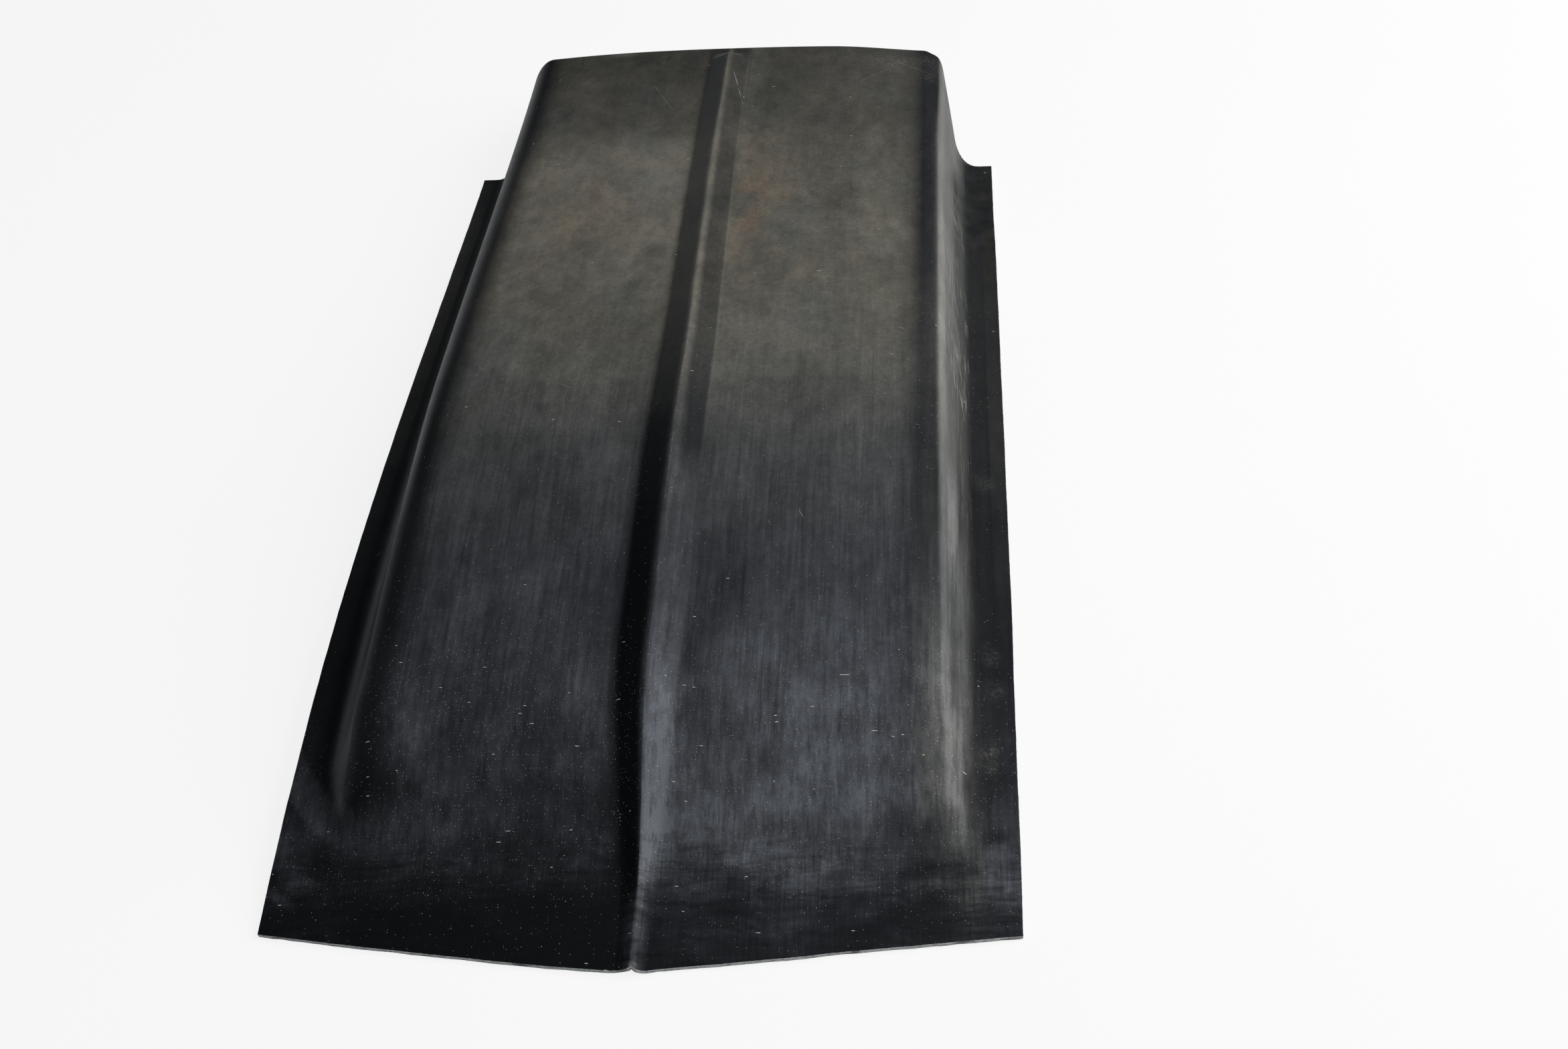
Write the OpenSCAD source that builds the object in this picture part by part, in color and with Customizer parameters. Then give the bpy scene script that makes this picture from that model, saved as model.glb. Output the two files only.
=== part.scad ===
// Rear-opening bonnet scoop, one glass-fibre moulding
// X runs across, Y from the pointed nose to the open rear, Z up
// The origin is on the resting plane, in the middle of the footprint

/* [Flange] */
// Width over both side flanges
flange_w = 620; // [560:5:720]
// Length of a side flange, from the front corner to its rear end
flange_l = 1168; // [1050:1:1350]
// Flat width of a side flange, from its edge to the foot line of the wall
side_flange_w = 39; // [30:1:55]
// Reach of the pointed front edge ahead of the front corners
nose_point = 37; // [10:1:70]
// Length behind the front edge over which the point straightens out
point_fade_l = 220; // [150:5:400]
// Rise of the flange's long curve over the chord between its ends
flange_crown = 34; // [15:1:50]
// Extra rise near the nose, which makes the long curve bend more there
flange_bend = 8.5; // [0:0.5:12]

/* [Laminate] */
// Thickness of the laminate
wall_t = 4.5; // [2:0.1:6]

/* [Body] */
// Height of the roof over the flange, at the middle
body_h = 97; // [75:1:130]
// Fall of the roof from its middle to the shoulder line
roof_crown = 5; // [0:0.5:14]
// Power of the roof's curve across, higher for a flatter middle
crown_power = 2.5; // [2:0.1:4]
// How far the wall leans in from its foot line to the shoulder line
wall_lean = 23.5; // [16:0.5:38]
// Radius of the rounded shoulder
shoulder_r = 22; // [12:1:34]
// Radius of the hollow between the wall and the flange
foot_r = 30; // [8:1:34]

/* [Nose] */
// Length of the flat apron between the front edge and the nose face
apron_l = 64; // [50:1:120]
// Length of the steep nose face
nose_l = 136; // [110:1:200]
// Share of the body's height that the nose face reaches
nose_share = 0.68; // [0.5:0.01:0.9]
// Length over which the roof runs up to its full height
run_up_l = 435; // [200:5:500]
// Length of the nose face that the run-up overlaps
run_up_lap = 35; // [0:1:60]

/* [Ridge] */
// Width of the middle ridge at its foot, where it is widest
ridge_w = 61; // [44:1:80]
// Width of the ridge at the rear end of the flange
ridge_rear_w = 53; // [36:1:80]
// Height of the ridge over the roof
ridge_h = 10; // [5:0.5:16]
// Width of the ridge where it meets the front edge
ridge_tip_w = 26; // [18:1:38]
// Height of the ridge where it meets the front edge
ridge_tip_h = 5; // [3:0.5:12]
// Length behind the front edge over which the ridge widens
ridge_widen_l = 250; // [120:5:400]
// Width of the rounded crest, where the ridge is widest
crest_w = 8; // [2:0.5:12]
// Width of the hollow at each foot, where the ridge is widest
ridge_hollow_w = 5; // [2:0.5:12]
// Width of the hollow at each foot, where the ridge meets the front edge
ridge_tip_hollow_w = 6.5; // [2:0.5:6.5]
// Distance of the ridge's rear end ahead of the rear edge
ridge_end_gap = 16; // [12:1:60]
// Length of the sloping rear end of the ridge
ridge_hip_l = 21; // [8:1:40]

/* [Rear opening] */
// Angle of the rear opening's plane over the horizontal
rear_rake = 32.5; // [26:0.5:60]
// Radius of the rear edge, which turns in
lip_r = 9; // [5:0.5:12]
// Angle that the rear edge turns through
lip_turn = 55; // [20:5:70]

/* [Smoothness] */
// Steps round a shoulder
shoulder_steps = 7; // [4:1:8]
// Steps round the hollow at the foot of a wall
foot_steps = 5; // [3:1:7]
// Steps down the straight flank of the ridge
flank_steps = 3; // [2:1:4]
// Steps across each half of the roof
roof_steps = 5; // [3:1:8]
// Steps along the nose face
nose_steps = 11; // [6:1:12]
// Steps along the rest of the body, before the rear end
body_steps = 11; // [8:1:14]

/* [Hidden] */

half_w = flange_w / 2;
foot_x = half_w - side_flange_w;
shoulder_x = foot_x - wall_lean;
wall_angle = atan(body_h / wall_lean);
foot_reach = foot_r * tan(wall_angle / 2);
shoulder_reach = shoulder_r * tan(wall_angle / 2);
// Largest value of t(1-t)(1-2t), which makes flange_bend a height
bend_peak = sqrt(3) / 18;
// Largest share of the wall's own height that a rounding may take
reach_share = 0.45;
// Smallest turn of a rounding in degrees, so that a flat one keeps its points
least_turn = 0.05;
lip_l = lip_r * sin(lip_turn);
ridge_end = ridge_end_gap + ridge_hip_l;
nose_end = apron_l + nose_l;
// The rows between these two places fan out to the raked rear edge
fan_end_gap = 2 * ridge_end;
fan_start = flange_l - fan_end_gap - body_h;
// Power that sets the rows closer together behind the nose
row_spread = 1.3;
// Share of the lip's turn that is left in the middle of a wall, and at its foot
lip_wall_share = 0.6;
lip_foot_share = 0.4;
// Steps round the lip, and tries to find where a column meets the raked plane
lip_steps = 3;
rake_tries = 4;

function blend(t) = let (c = min(max(t, 0), 1)) c * c * (3 - 2 * c);

// Long curve of the flange, as a height over its chord
function flange_z(s) =
    let (t = s / flange_l)
    t * (1 - t) * (4 * flange_crown + flange_bend * (1 - 2 * t) / bend_peak);

// Share of the body's height reached at a station, from the nose face and the run-up
function nose_rise(s) =
    nose_share * blend((s - apron_l) / nose_l)
    + (1 - nose_share) * blend((s - nose_end + run_up_lap) / run_up_l);

// Roof without its ridge, at a place across and a station along
function roof_point(x, s) =
    [x, flange_z(s) + nose_rise(s) * (body_h - roof_crown * pow(x / shoulder_x, crown_power))];

// Point on the rounding of the corner at, which takes reach off each side
function round_point(from, at, to, reach, k) =
    let (
        d1 = (at - from) / norm(at - from),
        d2 = (to - at) / norm(to - at),
        turn = max(least_turn, acos(min(1, d1 * d2))),
        side = [-d1[1], d1[0]] * sign(cross(d1, d2)),
        r = reach / tan(turn / 2)
    )
    at - d1 * reach + r * (sin(k * turn) * d1 + (1 - cos(k * turn)) * side);

// The ridge grows from its size at the front edge to its full size
function ridge_size(tip, full, s) = tip + (full - tip) * blend(s / ridge_widen_l);
function ridge_width(s) =
    s < ridge_widen_l ? ridge_size(ridge_tip_w, ridge_w, s)
    : ridge_w + (ridge_rear_w - ridge_w) * (s - ridge_widen_l) / (flange_l - ridge_widen_l);
function ridge_height(s) = ridge_size(ridge_tip_h, ridge_h, s);

// Shares of the ridge's half width where its round crest and its straight flank end
crest_share = crest_w / ridge_w;
function flank_share(s) =
    1 - ridge_size(2 * ridge_tip_hollow_w / ridge_tip_w, 2 * ridge_hollow_w / ridge_w, s);

// Profile of the ridge from its crest (0) to its foot (1): round, straight, hollow
function ridge_profile(q, s) =
    let (flank = flank_share(s), slope = 2 / (1 + flank - crest_share))
    q < crest_share ? 1 - slope * q * q / (2 * crest_share)
    : q < flank ? 1 - slope * (q - crest_share / 2)
    : slope * (1 - q) * (1 - q) / (2 * (1 - flank));

// Columns of one half, from the flange's edge to the middle
EDGE = 0;
FOOT = 1;
WALL = 2;
SHOULDER = 3;
ROOF = 4;
RIDGE = 5;
full_flank = flank_share(ridge_widen_l);
ridge_places = concat(
    [1, (1 + full_flank) / 2],
    [for (i = [0:flank_steps]) full_flank + (crest_share - full_flank) * i / flank_steps],
    [crest_share / 2, 0]
);
half_columns = concat(
    [[EDGE, 0], [EDGE, 0.5]],
    [for (i = [0:foot_steps]) [FOOT, i / foot_steps]],
    [[WALL, 0.5]],
    [for (i = [0:shoulder_steps]) [SHOULDER, i / shoulder_steps]],
    [for (i = [1:roof_steps - 1]) [ROOF, i / roof_steps]],
    [for (q = ridge_places) [RIDGE, q]]
);
half_count = len(half_columns);
column_count = 2 * half_count - 1;

// Cross-section point of a column, as [x, z] on the right-hand side
function section_point(column, s) =
    let (
        foot = [foot_x, flange_z(s)],
        shoulder = roof_point(shoulder_x, s),
        wall = norm(shoulder - foot),
        foot_take = min(foot_reach, reach_share * wall),
        shoulder_take = min(shoulder_reach, reach_share * wall),
        roof_slope = (roof_point(shoulder_x - 1, s) - shoulder)[1],
        inward = shoulder + [-1, roof_slope],
        kind = column[0],
        k = column[1]
    )
    kind == EDGE ? [half_w - k * (side_flange_w - foot_take), foot[1]]
    : kind == FOOT ? round_point([half_w, foot[1]], foot, shoulder, foot_take, k)
    : kind == WALL ? (
        round_point([half_w, foot[1]], foot, shoulder, foot_take, 1)
        + round_point(foot, shoulder, inward, shoulder_take, 0)) / 2
    : kind == SHOULDER ? round_point(foot, shoulder, inward, shoulder_take, k)
    : kind == ROOF ? let (
        start = round_point(foot, shoulder, inward, shoulder_take, 1)[0],
        end = ridge_width(s) / 2)
        roof_point(start + (end - start) * k, s)
    : roof_point(k * ridge_width(s) / 2, s);

// Station at which a column meets the raked plane of the rear opening
function rear_station(column, s, tries) =
    tries == 0 ? s
    : rear_station(column, flange_l + section_point(column, s)[1] / tan(rear_rake), tries - 1);

// Rows: stations up to the fan, then shares of the fan, then distances from the rear edge
front_rows = concat(
    [0, apron_l / 2],
    [for (i = [0:nose_steps]) apron_l + nose_l * i / nose_steps],
    [for (i = [1:body_steps]) nose_end + (fan_start - nose_end) * pow(i / body_steps, row_spread)]
);
fan_rows = [1 / 3, 2 / 3];
rear_rows = concat(
    [fan_end_gap, ridge_end, ridge_end_gap + ridge_hip_l / 2, ridge_end_gap],
    [for (i = [0:lip_steps]) lip_l - lip_r * sin(lip_turn * i / lip_steps)]
);
row_count = len(front_rows) + len(fan_rows) + len(rear_rows);

function row_station(row, edge) =
    let (
        fan = row - len(front_rows),
        rear = fan - len(fan_rows)
    )
    fan < 0 ? front_rows[row]
    : rear < 0 ? fan_start + (edge - fan_end_gap - fan_start) * fan_rows[fan]
    : edge - rear_rows[rear];

// How far the rear edge has turned in, at a distance from it
function lip_drop(gap) = gap >= lip_l ? 0 : lip_r - sqrt(lip_r * lip_r - pow(lip_l - gap, 2));

// The lip runs along the roof and the shoulders, and dies away down the walls
function lip_share(column) =
    column[0] >= SHOULDER ? 1
    : column[0] == WALL ? lip_wall_share
    : column[0] == FOOT ? lip_foot_share * column[1]
    : 0;

// Point of the outer skin on the right-hand side
function skin_point(column, row) =
    let (
        edge = rear_station(column, flange_l, rake_tries),
        s = row_station(row, edge),
        gap = edge - s,
        p = section_point(column, s),
        hip = blend((gap - ridge_end_gap) / ridge_hip_l),
        ridge = column[0] == RIDGE ? hip * ridge_height(s) * ridge_profile(column[1], s) : 0,
        drop = lip_share(column) * lip_drop(gap),
        point = nose_point * (1 - p[0] / half_w) * (1 - blend(s / point_fade_l))
    )
    [p[0] - drop * p[0] / shoulder_x, s - point, p[1] + ridge - drop];

function mirror_x(p) = [-p[0], p[1], p[2]];

function skin_row(row) =
    let (half = [for (column = half_columns) skin_point(column, row)])
    concat(half, [for (i = [half_count - 2:-1:0]) mirror_x(half[i])]);

outer_skin = [for (row = [0:row_count - 1]) skin_row(row)];

// Outward normal of the outer skin at a grid point
function skin_normal(j, i) =
    let (
        across = outer_skin[j][max(i - 1, 0)] - outer_skin[j][min(i + 1, column_count - 1)],
        along = outer_skin[min(j + 1, row_count - 1)][i] - outer_skin[max(j - 1, 0)][i],
        n = cross(across, along)
    )
    n / norm(n);

inner_skin = [
    for (j = [0:row_count - 1]) [
        for (i = [0:column_count - 1]) outer_skin[j][i] - wall_t * skin_normal(j, i)
    ]
];

skin_points = concat([for (row = outer_skin) each row], [for (row = inner_skin) each row]);
inner_start = row_count * column_count;
function at(j, i) = j * column_count + i;

// Two triangles of one cell, with its corners in order
function cell(a, b, c, d) = [[a, b, c], [a, c, d]];

// The cells of the left half are cut along the other diagonal, so that the halves mirror
function mirrored_cell(i, a, b, c, d) = i < half_count - 1 ? cell(a, b, c, d) : cell(b, c, d, a);

skin_faces = concat(
    [for (j = [0:row_count - 2], i = [0:column_count - 2])
        each mirrored_cell(i, at(j, i), at(j, i + 1), at(j + 1, i + 1), at(j + 1, i))],
    [for (j = [0:row_count - 2], i = [0:column_count - 2])
        each mirrored_cell(
            i, inner_start + at(j, i), inner_start + at(j + 1, i),
            inner_start + at(j + 1, i + 1), inner_start + at(j, i + 1))]
);

// Cut edge of the laminate along a list of grid points
function cut_edge(line) = [
    for (k = [0:len(line) - 2])
        each cell(line[k], inner_start + line[k], inner_start + line[k + 1], line[k + 1])
];

rim = concat(
    [for (i = [0:column_count - 1]) at(0, i)],
    [for (j = [1:row_count - 1]) at(j, column_count - 1)],
    [for (i = [column_count - 2:-1:0]) at(row_count - 1, i)],
    [for (j = [row_count - 2:-1:0]) at(j, 0)]
);

lengths = [for (p = skin_points) p[1]];
heights = [for (p = skin_points) p[2]];
middle_y = (min(lengths) + max(lengths)) / 2;

module scoop_shell() {
    color("#17191c")
        translate([0, -middle_y, -min(heights)])
            polyhedron(skin_points, concat(skin_faces, cut_edge(rim)), convexity = 6);
}

scoop_shell();
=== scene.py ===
import math

import bpy
import numpy as np
from mathutils import Matrix, Vector


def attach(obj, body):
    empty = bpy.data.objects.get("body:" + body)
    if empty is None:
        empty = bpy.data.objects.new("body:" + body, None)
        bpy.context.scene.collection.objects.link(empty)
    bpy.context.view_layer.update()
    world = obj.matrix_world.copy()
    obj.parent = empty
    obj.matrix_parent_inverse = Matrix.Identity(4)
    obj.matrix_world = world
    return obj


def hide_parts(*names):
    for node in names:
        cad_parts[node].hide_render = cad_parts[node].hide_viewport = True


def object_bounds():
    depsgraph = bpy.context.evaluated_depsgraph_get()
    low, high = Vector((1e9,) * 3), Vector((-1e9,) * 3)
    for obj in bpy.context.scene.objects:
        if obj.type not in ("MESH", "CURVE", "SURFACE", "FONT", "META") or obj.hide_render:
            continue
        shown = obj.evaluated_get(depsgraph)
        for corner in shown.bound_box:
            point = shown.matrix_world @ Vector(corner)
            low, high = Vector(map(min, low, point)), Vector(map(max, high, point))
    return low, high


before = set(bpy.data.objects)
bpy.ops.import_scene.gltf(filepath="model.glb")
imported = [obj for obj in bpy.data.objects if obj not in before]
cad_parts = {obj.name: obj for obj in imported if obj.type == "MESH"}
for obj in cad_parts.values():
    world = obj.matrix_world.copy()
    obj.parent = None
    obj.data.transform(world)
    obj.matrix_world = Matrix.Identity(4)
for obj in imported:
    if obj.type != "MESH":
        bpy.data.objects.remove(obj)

cad_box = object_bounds()
scene = bpy.context.scene

# Sizes of the moulding in mm, the same as in the part's source
FLANGE_W, FLANGE_L, SIDE_FLANGE_W = 620.0, 1168.0, 39.0
NOSE_POINT, POINT_FADE_L = 37.0, 220.0
FLANGE_CROWN, FLANGE_BEND = 34.0, 8.5
WALL_T = 4.5
BODY_H, ROOF_CROWN, CROWN_POWER = 97.0, 5.0, 2.5
WALL_LEAN, SHOULDER_R, FOOT_R = 23.5, 22.0, 30.0
APRON_L, NOSE_L, NOSE_SHARE = 64.0, 136.0, 0.68
RUN_UP_L, RUN_UP_LAP = 435.0, 35.0
RIDGE_W, RIDGE_REAR_W, RIDGE_H = 61.0, 53.0, 10.0
RIDGE_TIP_W, RIDGE_TIP_H, RIDGE_WIDEN_L = 26.0, 5.0, 250.0
CREST_W, RIDGE_HOLLOW_W, RIDGE_TIP_HOLLOW_W = 8.0, 5.0, 6.5
RIDGE_END_GAP, RIDGE_HIP_L = 16.0, 21.0
REAR_RAKE, LIP_R, LIP_TURN = math.radians(32.5), 9.0, math.radians(55.0)

HALF_W = FLANGE_W / 2
FOOT_X = HALF_W - SIDE_FLANGE_W
SHOULDER_X = FOOT_X - WALL_LEAN
WALL_ANGLE = math.atan(BODY_H / WALL_LEAN)
FOOT_REACH = FOOT_R * math.tan(WALL_ANGLE / 2)
SHOULDER_REACH = SHOULDER_R * math.tan(WALL_ANGLE / 2)
LIP_L = LIP_R * math.sin(LIP_TURN)
NOSE_END = APRON_L + NOSE_L
RIDGE_END = RIDGE_END_GAP + RIDGE_HIP_L
FAN_END_GAP = 2 * RIDGE_END
FAN_START = FLANGE_L - FAN_END_GAP - BODY_H
CREST_SHARE = CREST_W / RIDGE_W

# Irregularities of the hand-made moulding, in mm
FRONT_Y = -676.0
WANDER, WANDER_START, WANDER_L = 7.5, -40.0, 560.0
KINK, KINK_Y, KINK_L = 1.3, -30.0, 110.0
WANDER_CORE, WANDER_FADE = 30.0, 190.0
BOW, BOW_FADE = 2.6, 90.0
SLUMP_DOWN, SLUMP_OUT, SLUMP_START, SLUMP_L = 4.2, 2.0, 440.0, 170.0
SLUMP_LEAST_Z = 60.0
CHIPS = ((1.5, 2.6, 1.0), (-9.0, 6.0, 0.5))
CHIP_DEPTHS = (1.7, 1.3, 0.5)


def blend(t):
    c = np.clip(t, 0, 1)
    return c * c * (3 - 2 * c)


def rise(value, start, width):
    """From 0 to 1 over a width"""
    return blend((value - start) / width)


def fall(value, start, width):
    """From 1 to 0 over a width"""
    return 1 - blend((value - start) / width)


def bell(t):
    return np.exp(-(t ** 2))


def flange_z(s):
    t = s / FLANGE_L
    return t * (1 - t) * (4 * FLANGE_CROWN + FLANGE_BEND * (1 - 2 * t) * 18 / math.sqrt(3))


def nose_rise(s):
    nose = NOSE_SHARE * blend((s - APRON_L) / NOSE_L)
    return nose + (1 - NOSE_SHARE) * blend((s - NOSE_END + RUN_UP_LAP) / RUN_UP_L)


def roof_z(x, s):
    crown = ROOF_CROWN * np.power(np.abs(x) / SHOULDER_X, CROWN_POWER)
    return flange_z(s) + nose_rise(s) * (BODY_H - crown)


def ridge_size(tip, full, s):
    return tip + (full - tip) * blend(s / RIDGE_WIDEN_L)


def ridge_width(s):
    rear = RIDGE_W + (RIDGE_REAR_W - RIDGE_W) * (s - RIDGE_WIDEN_L) / (FLANGE_L - RIDGE_WIDEN_L)
    return np.where(s < RIDGE_WIDEN_L, ridge_size(RIDGE_TIP_W, RIDGE_W, s), rear)


def ridge_height(s):
    return ridge_size(RIDGE_TIP_H, RIDGE_H, s)


def ridge_profile(q, s):
    """Height of the ridge from its crest (0) to its foot (1): round, straight, hollow"""
    flank = 1 - ridge_size(2 * RIDGE_TIP_HOLLOW_W / RIDGE_TIP_W, 2 * RIDGE_HOLLOW_W / RIDGE_W, s)
    slope = 2 / (1 + flank - CREST_SHARE)
    crest = 1 - slope * q * q / (2 * CREST_SHARE)
    straight = 1 - slope * (q - CREST_SHARE / 2)
    hollow = slope * (1 - q) ** 2 / (2 * (1 - flank))
    return np.where(q < CREST_SHARE, crest, np.where(q < flank, straight, hollow))


def rounding(a, at, b, reach, k):
    """Points on the rounding of the corner at, for arrays of stations"""
    d1 = (at - a) / np.linalg.norm(at - a, axis=-1, keepdims=True)
    d2 = (b - at) / np.linalg.norm(b - at, axis=-1, keepdims=True)
    turn = np.maximum(math.radians(0.05), np.arccos(np.minimum(1, (d1 * d2).sum(-1))))
    hand = np.sign(d1[..., 0] * d2[..., 1] - d1[..., 1] * d2[..., 0])[..., None]
    side = np.stack([-d1[..., 1], d1[..., 0]], -1) * hand
    r = reach / np.tan(turn / 2)
    return at - d1 * reach[..., None] + r[..., None] * (
        np.sin(k * turn)[..., None] * d1 + (1 - np.cos(k * turn))[..., None] * side
    )


EDGE, FOOT, WALL, SHOULDER, ROOF, RIDGE = range(6)


def section(kind, k, s):
    """Cross-section points (x, z) of one column, on the right-hand side"""
    s = np.asarray(s, float)
    base = flange_z(s)
    foot = np.stack([np.full_like(s, FOOT_X), base], -1)
    rim = np.stack([np.full_like(s, HALF_W), base], -1)
    shoulder = np.stack([np.full_like(s, SHOULDER_X), roof_z(SHOULDER_X, s)], -1)
    wall = np.linalg.norm(shoulder - foot, axis=-1)
    foot_take = np.minimum(FOOT_REACH, 0.45 * wall)
    shoulder_take = np.minimum(SHOULDER_REACH, 0.45 * wall)
    fall_inward = roof_z(SHOULDER_X - 1, s) - roof_z(SHOULDER_X, s)
    inward = shoulder + np.stack([np.full_like(s, -1.0), fall_inward], -1)
    if kind == EDGE:
        return np.stack([HALF_W - k * (SIDE_FLANGE_W - foot_take), base], -1)
    if kind == FOOT:
        return rounding(rim, foot, shoulder, foot_take, k)
    if kind == WALL:
        low = rounding(rim, foot, shoulder, foot_take, 1)
        high = rounding(foot, shoulder, inward, shoulder_take, 0)
        return low + (high - low) * k
    if kind == SHOULDER:
        return rounding(foot, shoulder, inward, shoulder_take, k)
    if kind == ROOF:
        start = rounding(foot, shoulder, inward, shoulder_take, 1)[..., 0]
        x = start + (ridge_width(s) / 2 - start) * k
        return np.stack([x, roof_z(x, s)], -1)
    x = k * ridge_width(s) / 2
    return np.stack([x, roof_z(x, s)], -1)


def rear_station(kind, k):
    s = FLANGE_L
    for _ in range(6):
        s = FLANGE_L + float(section(kind, k, np.array([s]))[0, 1]) / math.tan(REAR_RAKE)
    return s


def lip_share(kind, k):
    """How much of the rolled lip a column has: all over the roof, less down the wall, none on the flange"""
    if kind >= SHOULDER:
        return 1.0
    if kind == WALL:
        return 0.4 + 0.4 * k
    return 0.4 * k if kind == FOOT else 0.0


def value_noise(t, size, seed):
    """Smooth noise between -1 and 1 along a line"""
    table = np.random.default_rng(seed).uniform(-1, 1, 1024)
    u = np.asarray(t, float) / size + 300.37
    i = np.floor(u).astype(int)
    f = u - i
    f = f * f * (3 - 2 * f)
    return table[i % 1024] * (1 - f) + table[(i + 1) % 1024] * f


def value_noise_2d(x, y, size, seed):
    """Smooth noise between -1 and 1 over a plane"""
    table = np.random.default_rng(seed).uniform(-1, 1, (128, 128))
    u, v = np.asarray(x, float) / size + 40.21, np.asarray(y, float) / size + 40.73
    i, j = np.floor(u).astype(int), np.floor(v).astype(int)
    f, g = u - i, v - j
    f, g = f * f * (3 - 2 * f), g * g * (3 - 2 * g)
    i0, i1, j0, j1 = i % 128, (i + 1) % 128, j % 128, (j + 1) % 128
    near = table[i0, j0] * (1 - f) + table[i1, j0] * f
    far = table[i0, j1] * (1 - f) + table[i1, j1] * f
    return near * (1 - g) + far * g


# Columns of one half, from the flange's edge to the middle, as a kind and a place within it from 0 to 1
ROOF_PLACES = (*np.linspace(0, 1, 17)[1:-1], 0.96, 0.98)
RIDGE_PLACES = (
    1.0, 0.965, 0.93, 0.89, 0.85, 0.81, 0.75, 0.67, 0.58, 0.48, 0.38, 0.28, 0.2, CREST_SHARE,
    0.1, 0.065, 0.035, 0.0
)
half_columns = (
    [(EDGE, k) for k in np.linspace(0, 1, 11)[:-1]]
    + [(FOOT, k) for k in np.linspace(0, 1, 10)]
    + [(WALL, k) for k in (0.25, 0.5, 0.75)]
    + [(SHOULDER, k) for k in np.linspace(0, 1, 13)]
    + [(ROOF, k) for k in ROOF_PLACES]
    + [(RIDGE, q) for q in RIDGE_PLACES]
)
all_columns = half_columns + half_columns[:-1][::-1]
HALF, COLS = len(half_columns), len(all_columns)
kinds = np.array([kind for kind, _ in all_columns])
share = np.array([k for _, k in all_columns])
right_side = np.arange(COLS) < HALF
left_side = ~right_side

# Rows: stations from the front edge, shares of the rear fan, then distances to the rear edge
front_stations = np.concatenate([
    np.array([0.0, 1.2, 3.5]), np.linspace(7, NOSE_END + 60, 56),
    np.linspace(NOSE_END + 60, FAN_START, 84)[1:]
])
fan_shares = np.linspace(0, 1, 25)[1:-1]
lip_gaps = LIP_L - LIP_R * np.sin(LIP_TURN * np.linspace(0, 1, 9)[1:])
rear_gaps = np.concatenate([
    np.linspace(FAN_END_GAP, RIDGE_END + 2, 6), np.linspace(RIDGE_END, RIDGE_END_GAP, 9),
    np.linspace(RIDGE_END_GAP - 2, LIP_L, 4), lip_gaps
])
ROWS = len(front_stations) + len(fan_shares) + len(rear_gaps)


def half_skin():
    """The right half's outer skin, rows by columns: points in mm, distances to the rear edge, stations"""
    grid = np.zeros((ROWS, HALF, 3))
    gaps = np.zeros((ROWS, HALF))
    stations = np.zeros((ROWS, HALF))
    for c, (kind, k) in enumerate(half_columns):
        edge = rear_station(kind, k)
        s = np.concatenate([
            front_stations, FAN_START + (edge - FAN_END_GAP - FAN_START) * fan_shares, edge - rear_gaps
        ])
        to_edge = edge - s
        p = section(kind, k, s)
        x, z = p[:, 0].copy(), p[:, 1].copy()
        if kind == RIDGE:
            z += blend((to_edge - RIDGE_END_GAP) / RIDGE_HIP_L) * ridge_height(s) * ridge_profile(k, s)
        turned = np.clip(LIP_L - to_edge, 0, LIP_R)
        drop = lip_share(kind, k) * (LIP_R - np.sqrt(LIP_R ** 2 - turned ** 2))
        point = NOSE_POINT * (1 - x / HALF_W) * (1 - blend(s / POINT_FADE_L))
        grid[:, c] = np.stack([x - drop * x / SHOULDER_X, s - point, z - drop], -1)
        gaps[:, c] = to_edge
        stations[:, c] = s
    return grid, gaps, stations


def mirrored(half):
    """Both halves' columns, from the right edge to the left one"""
    return np.concatenate([half, half[:, :-1][:, ::-1]], 1)


half, half_gap, half_station = half_skin()
skin, gap, station = mirrored(half), mirrored(half_gap), mirrored(half_station)
skin[:, HALF:, 0] *= -1

# Into the part's frame, where the rear edge lies at the box's far end
skin[..., 1] += cad_box[1][1] * 1000 - skin[..., 1].max()


def ridge_wander(y):
    """How far the ridge lies off the middle: to the left at the rear"""
    return -WANDER * rise(y, WANDER_START, WANDER_L) + KINK * bell((y - KINK_Y) / KINK_L)


def slump_corner(x, y):
    """The roof's right rear corner: lower on the roof, and a little wider at the shoulder"""
    slump = rise(y, SLUMP_START, SLUMP_L)
    over_roof = rise(x, 120, 110) * fall(x, 238, 12) * (skin[..., 2] > SLUMP_LEAST_Z)
    skin[..., 2] -= SLUMP_DOWN * slump * over_roof
    skin[..., 0] += SLUMP_OUT * slump * rise(x, 236, 10) * fall(x, 268, 20)


def roughen_edges(x):
    """Uneven cut edges at the front and the sides, with a chip at the nose's point"""
    skin[0, :, 1] += 0.22 * value_noise(skin[0, :, 0], 9, 3) + 0.4 * value_noise(skin[0, :, 0], 47, 4)
    skin[1, :, 1] += 0.2 * value_noise(skin[0, :, 0], 47, 4)
    chip = sum(depth * bell((x[0] - place) / width) for place, width, depth in CHIPS)
    for row, depth in enumerate(CHIP_DEPTHS):
        skin[row, :, 1] += depth * chip
    for c, outward in ((0, 1), (COLS - 1, -1)):
        y = skin[:, c, 1]
        skin[:, c, 0] += outward * (0.1 * value_noise(y, 13, 7 + c) + 0.35 * value_noise(y, 90, 9 + c))


x, y = skin[..., 0].copy(), skin[..., 1].copy()
wander = ridge_wander(y)
skin[..., 0] += wander * np.clip(1 - (np.abs(x) - WANDER_CORE) / WANDER_FADE, 0, 1)
leftward = np.clip(-x / HALF_W, 0, 1)
skin[..., 1] -= 4 * BOW * leftward * (1 - leftward) * fall(y, FRONT_Y, BOW_FADE)
slump_corner(x, y)
roughen_edges(x)


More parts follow.
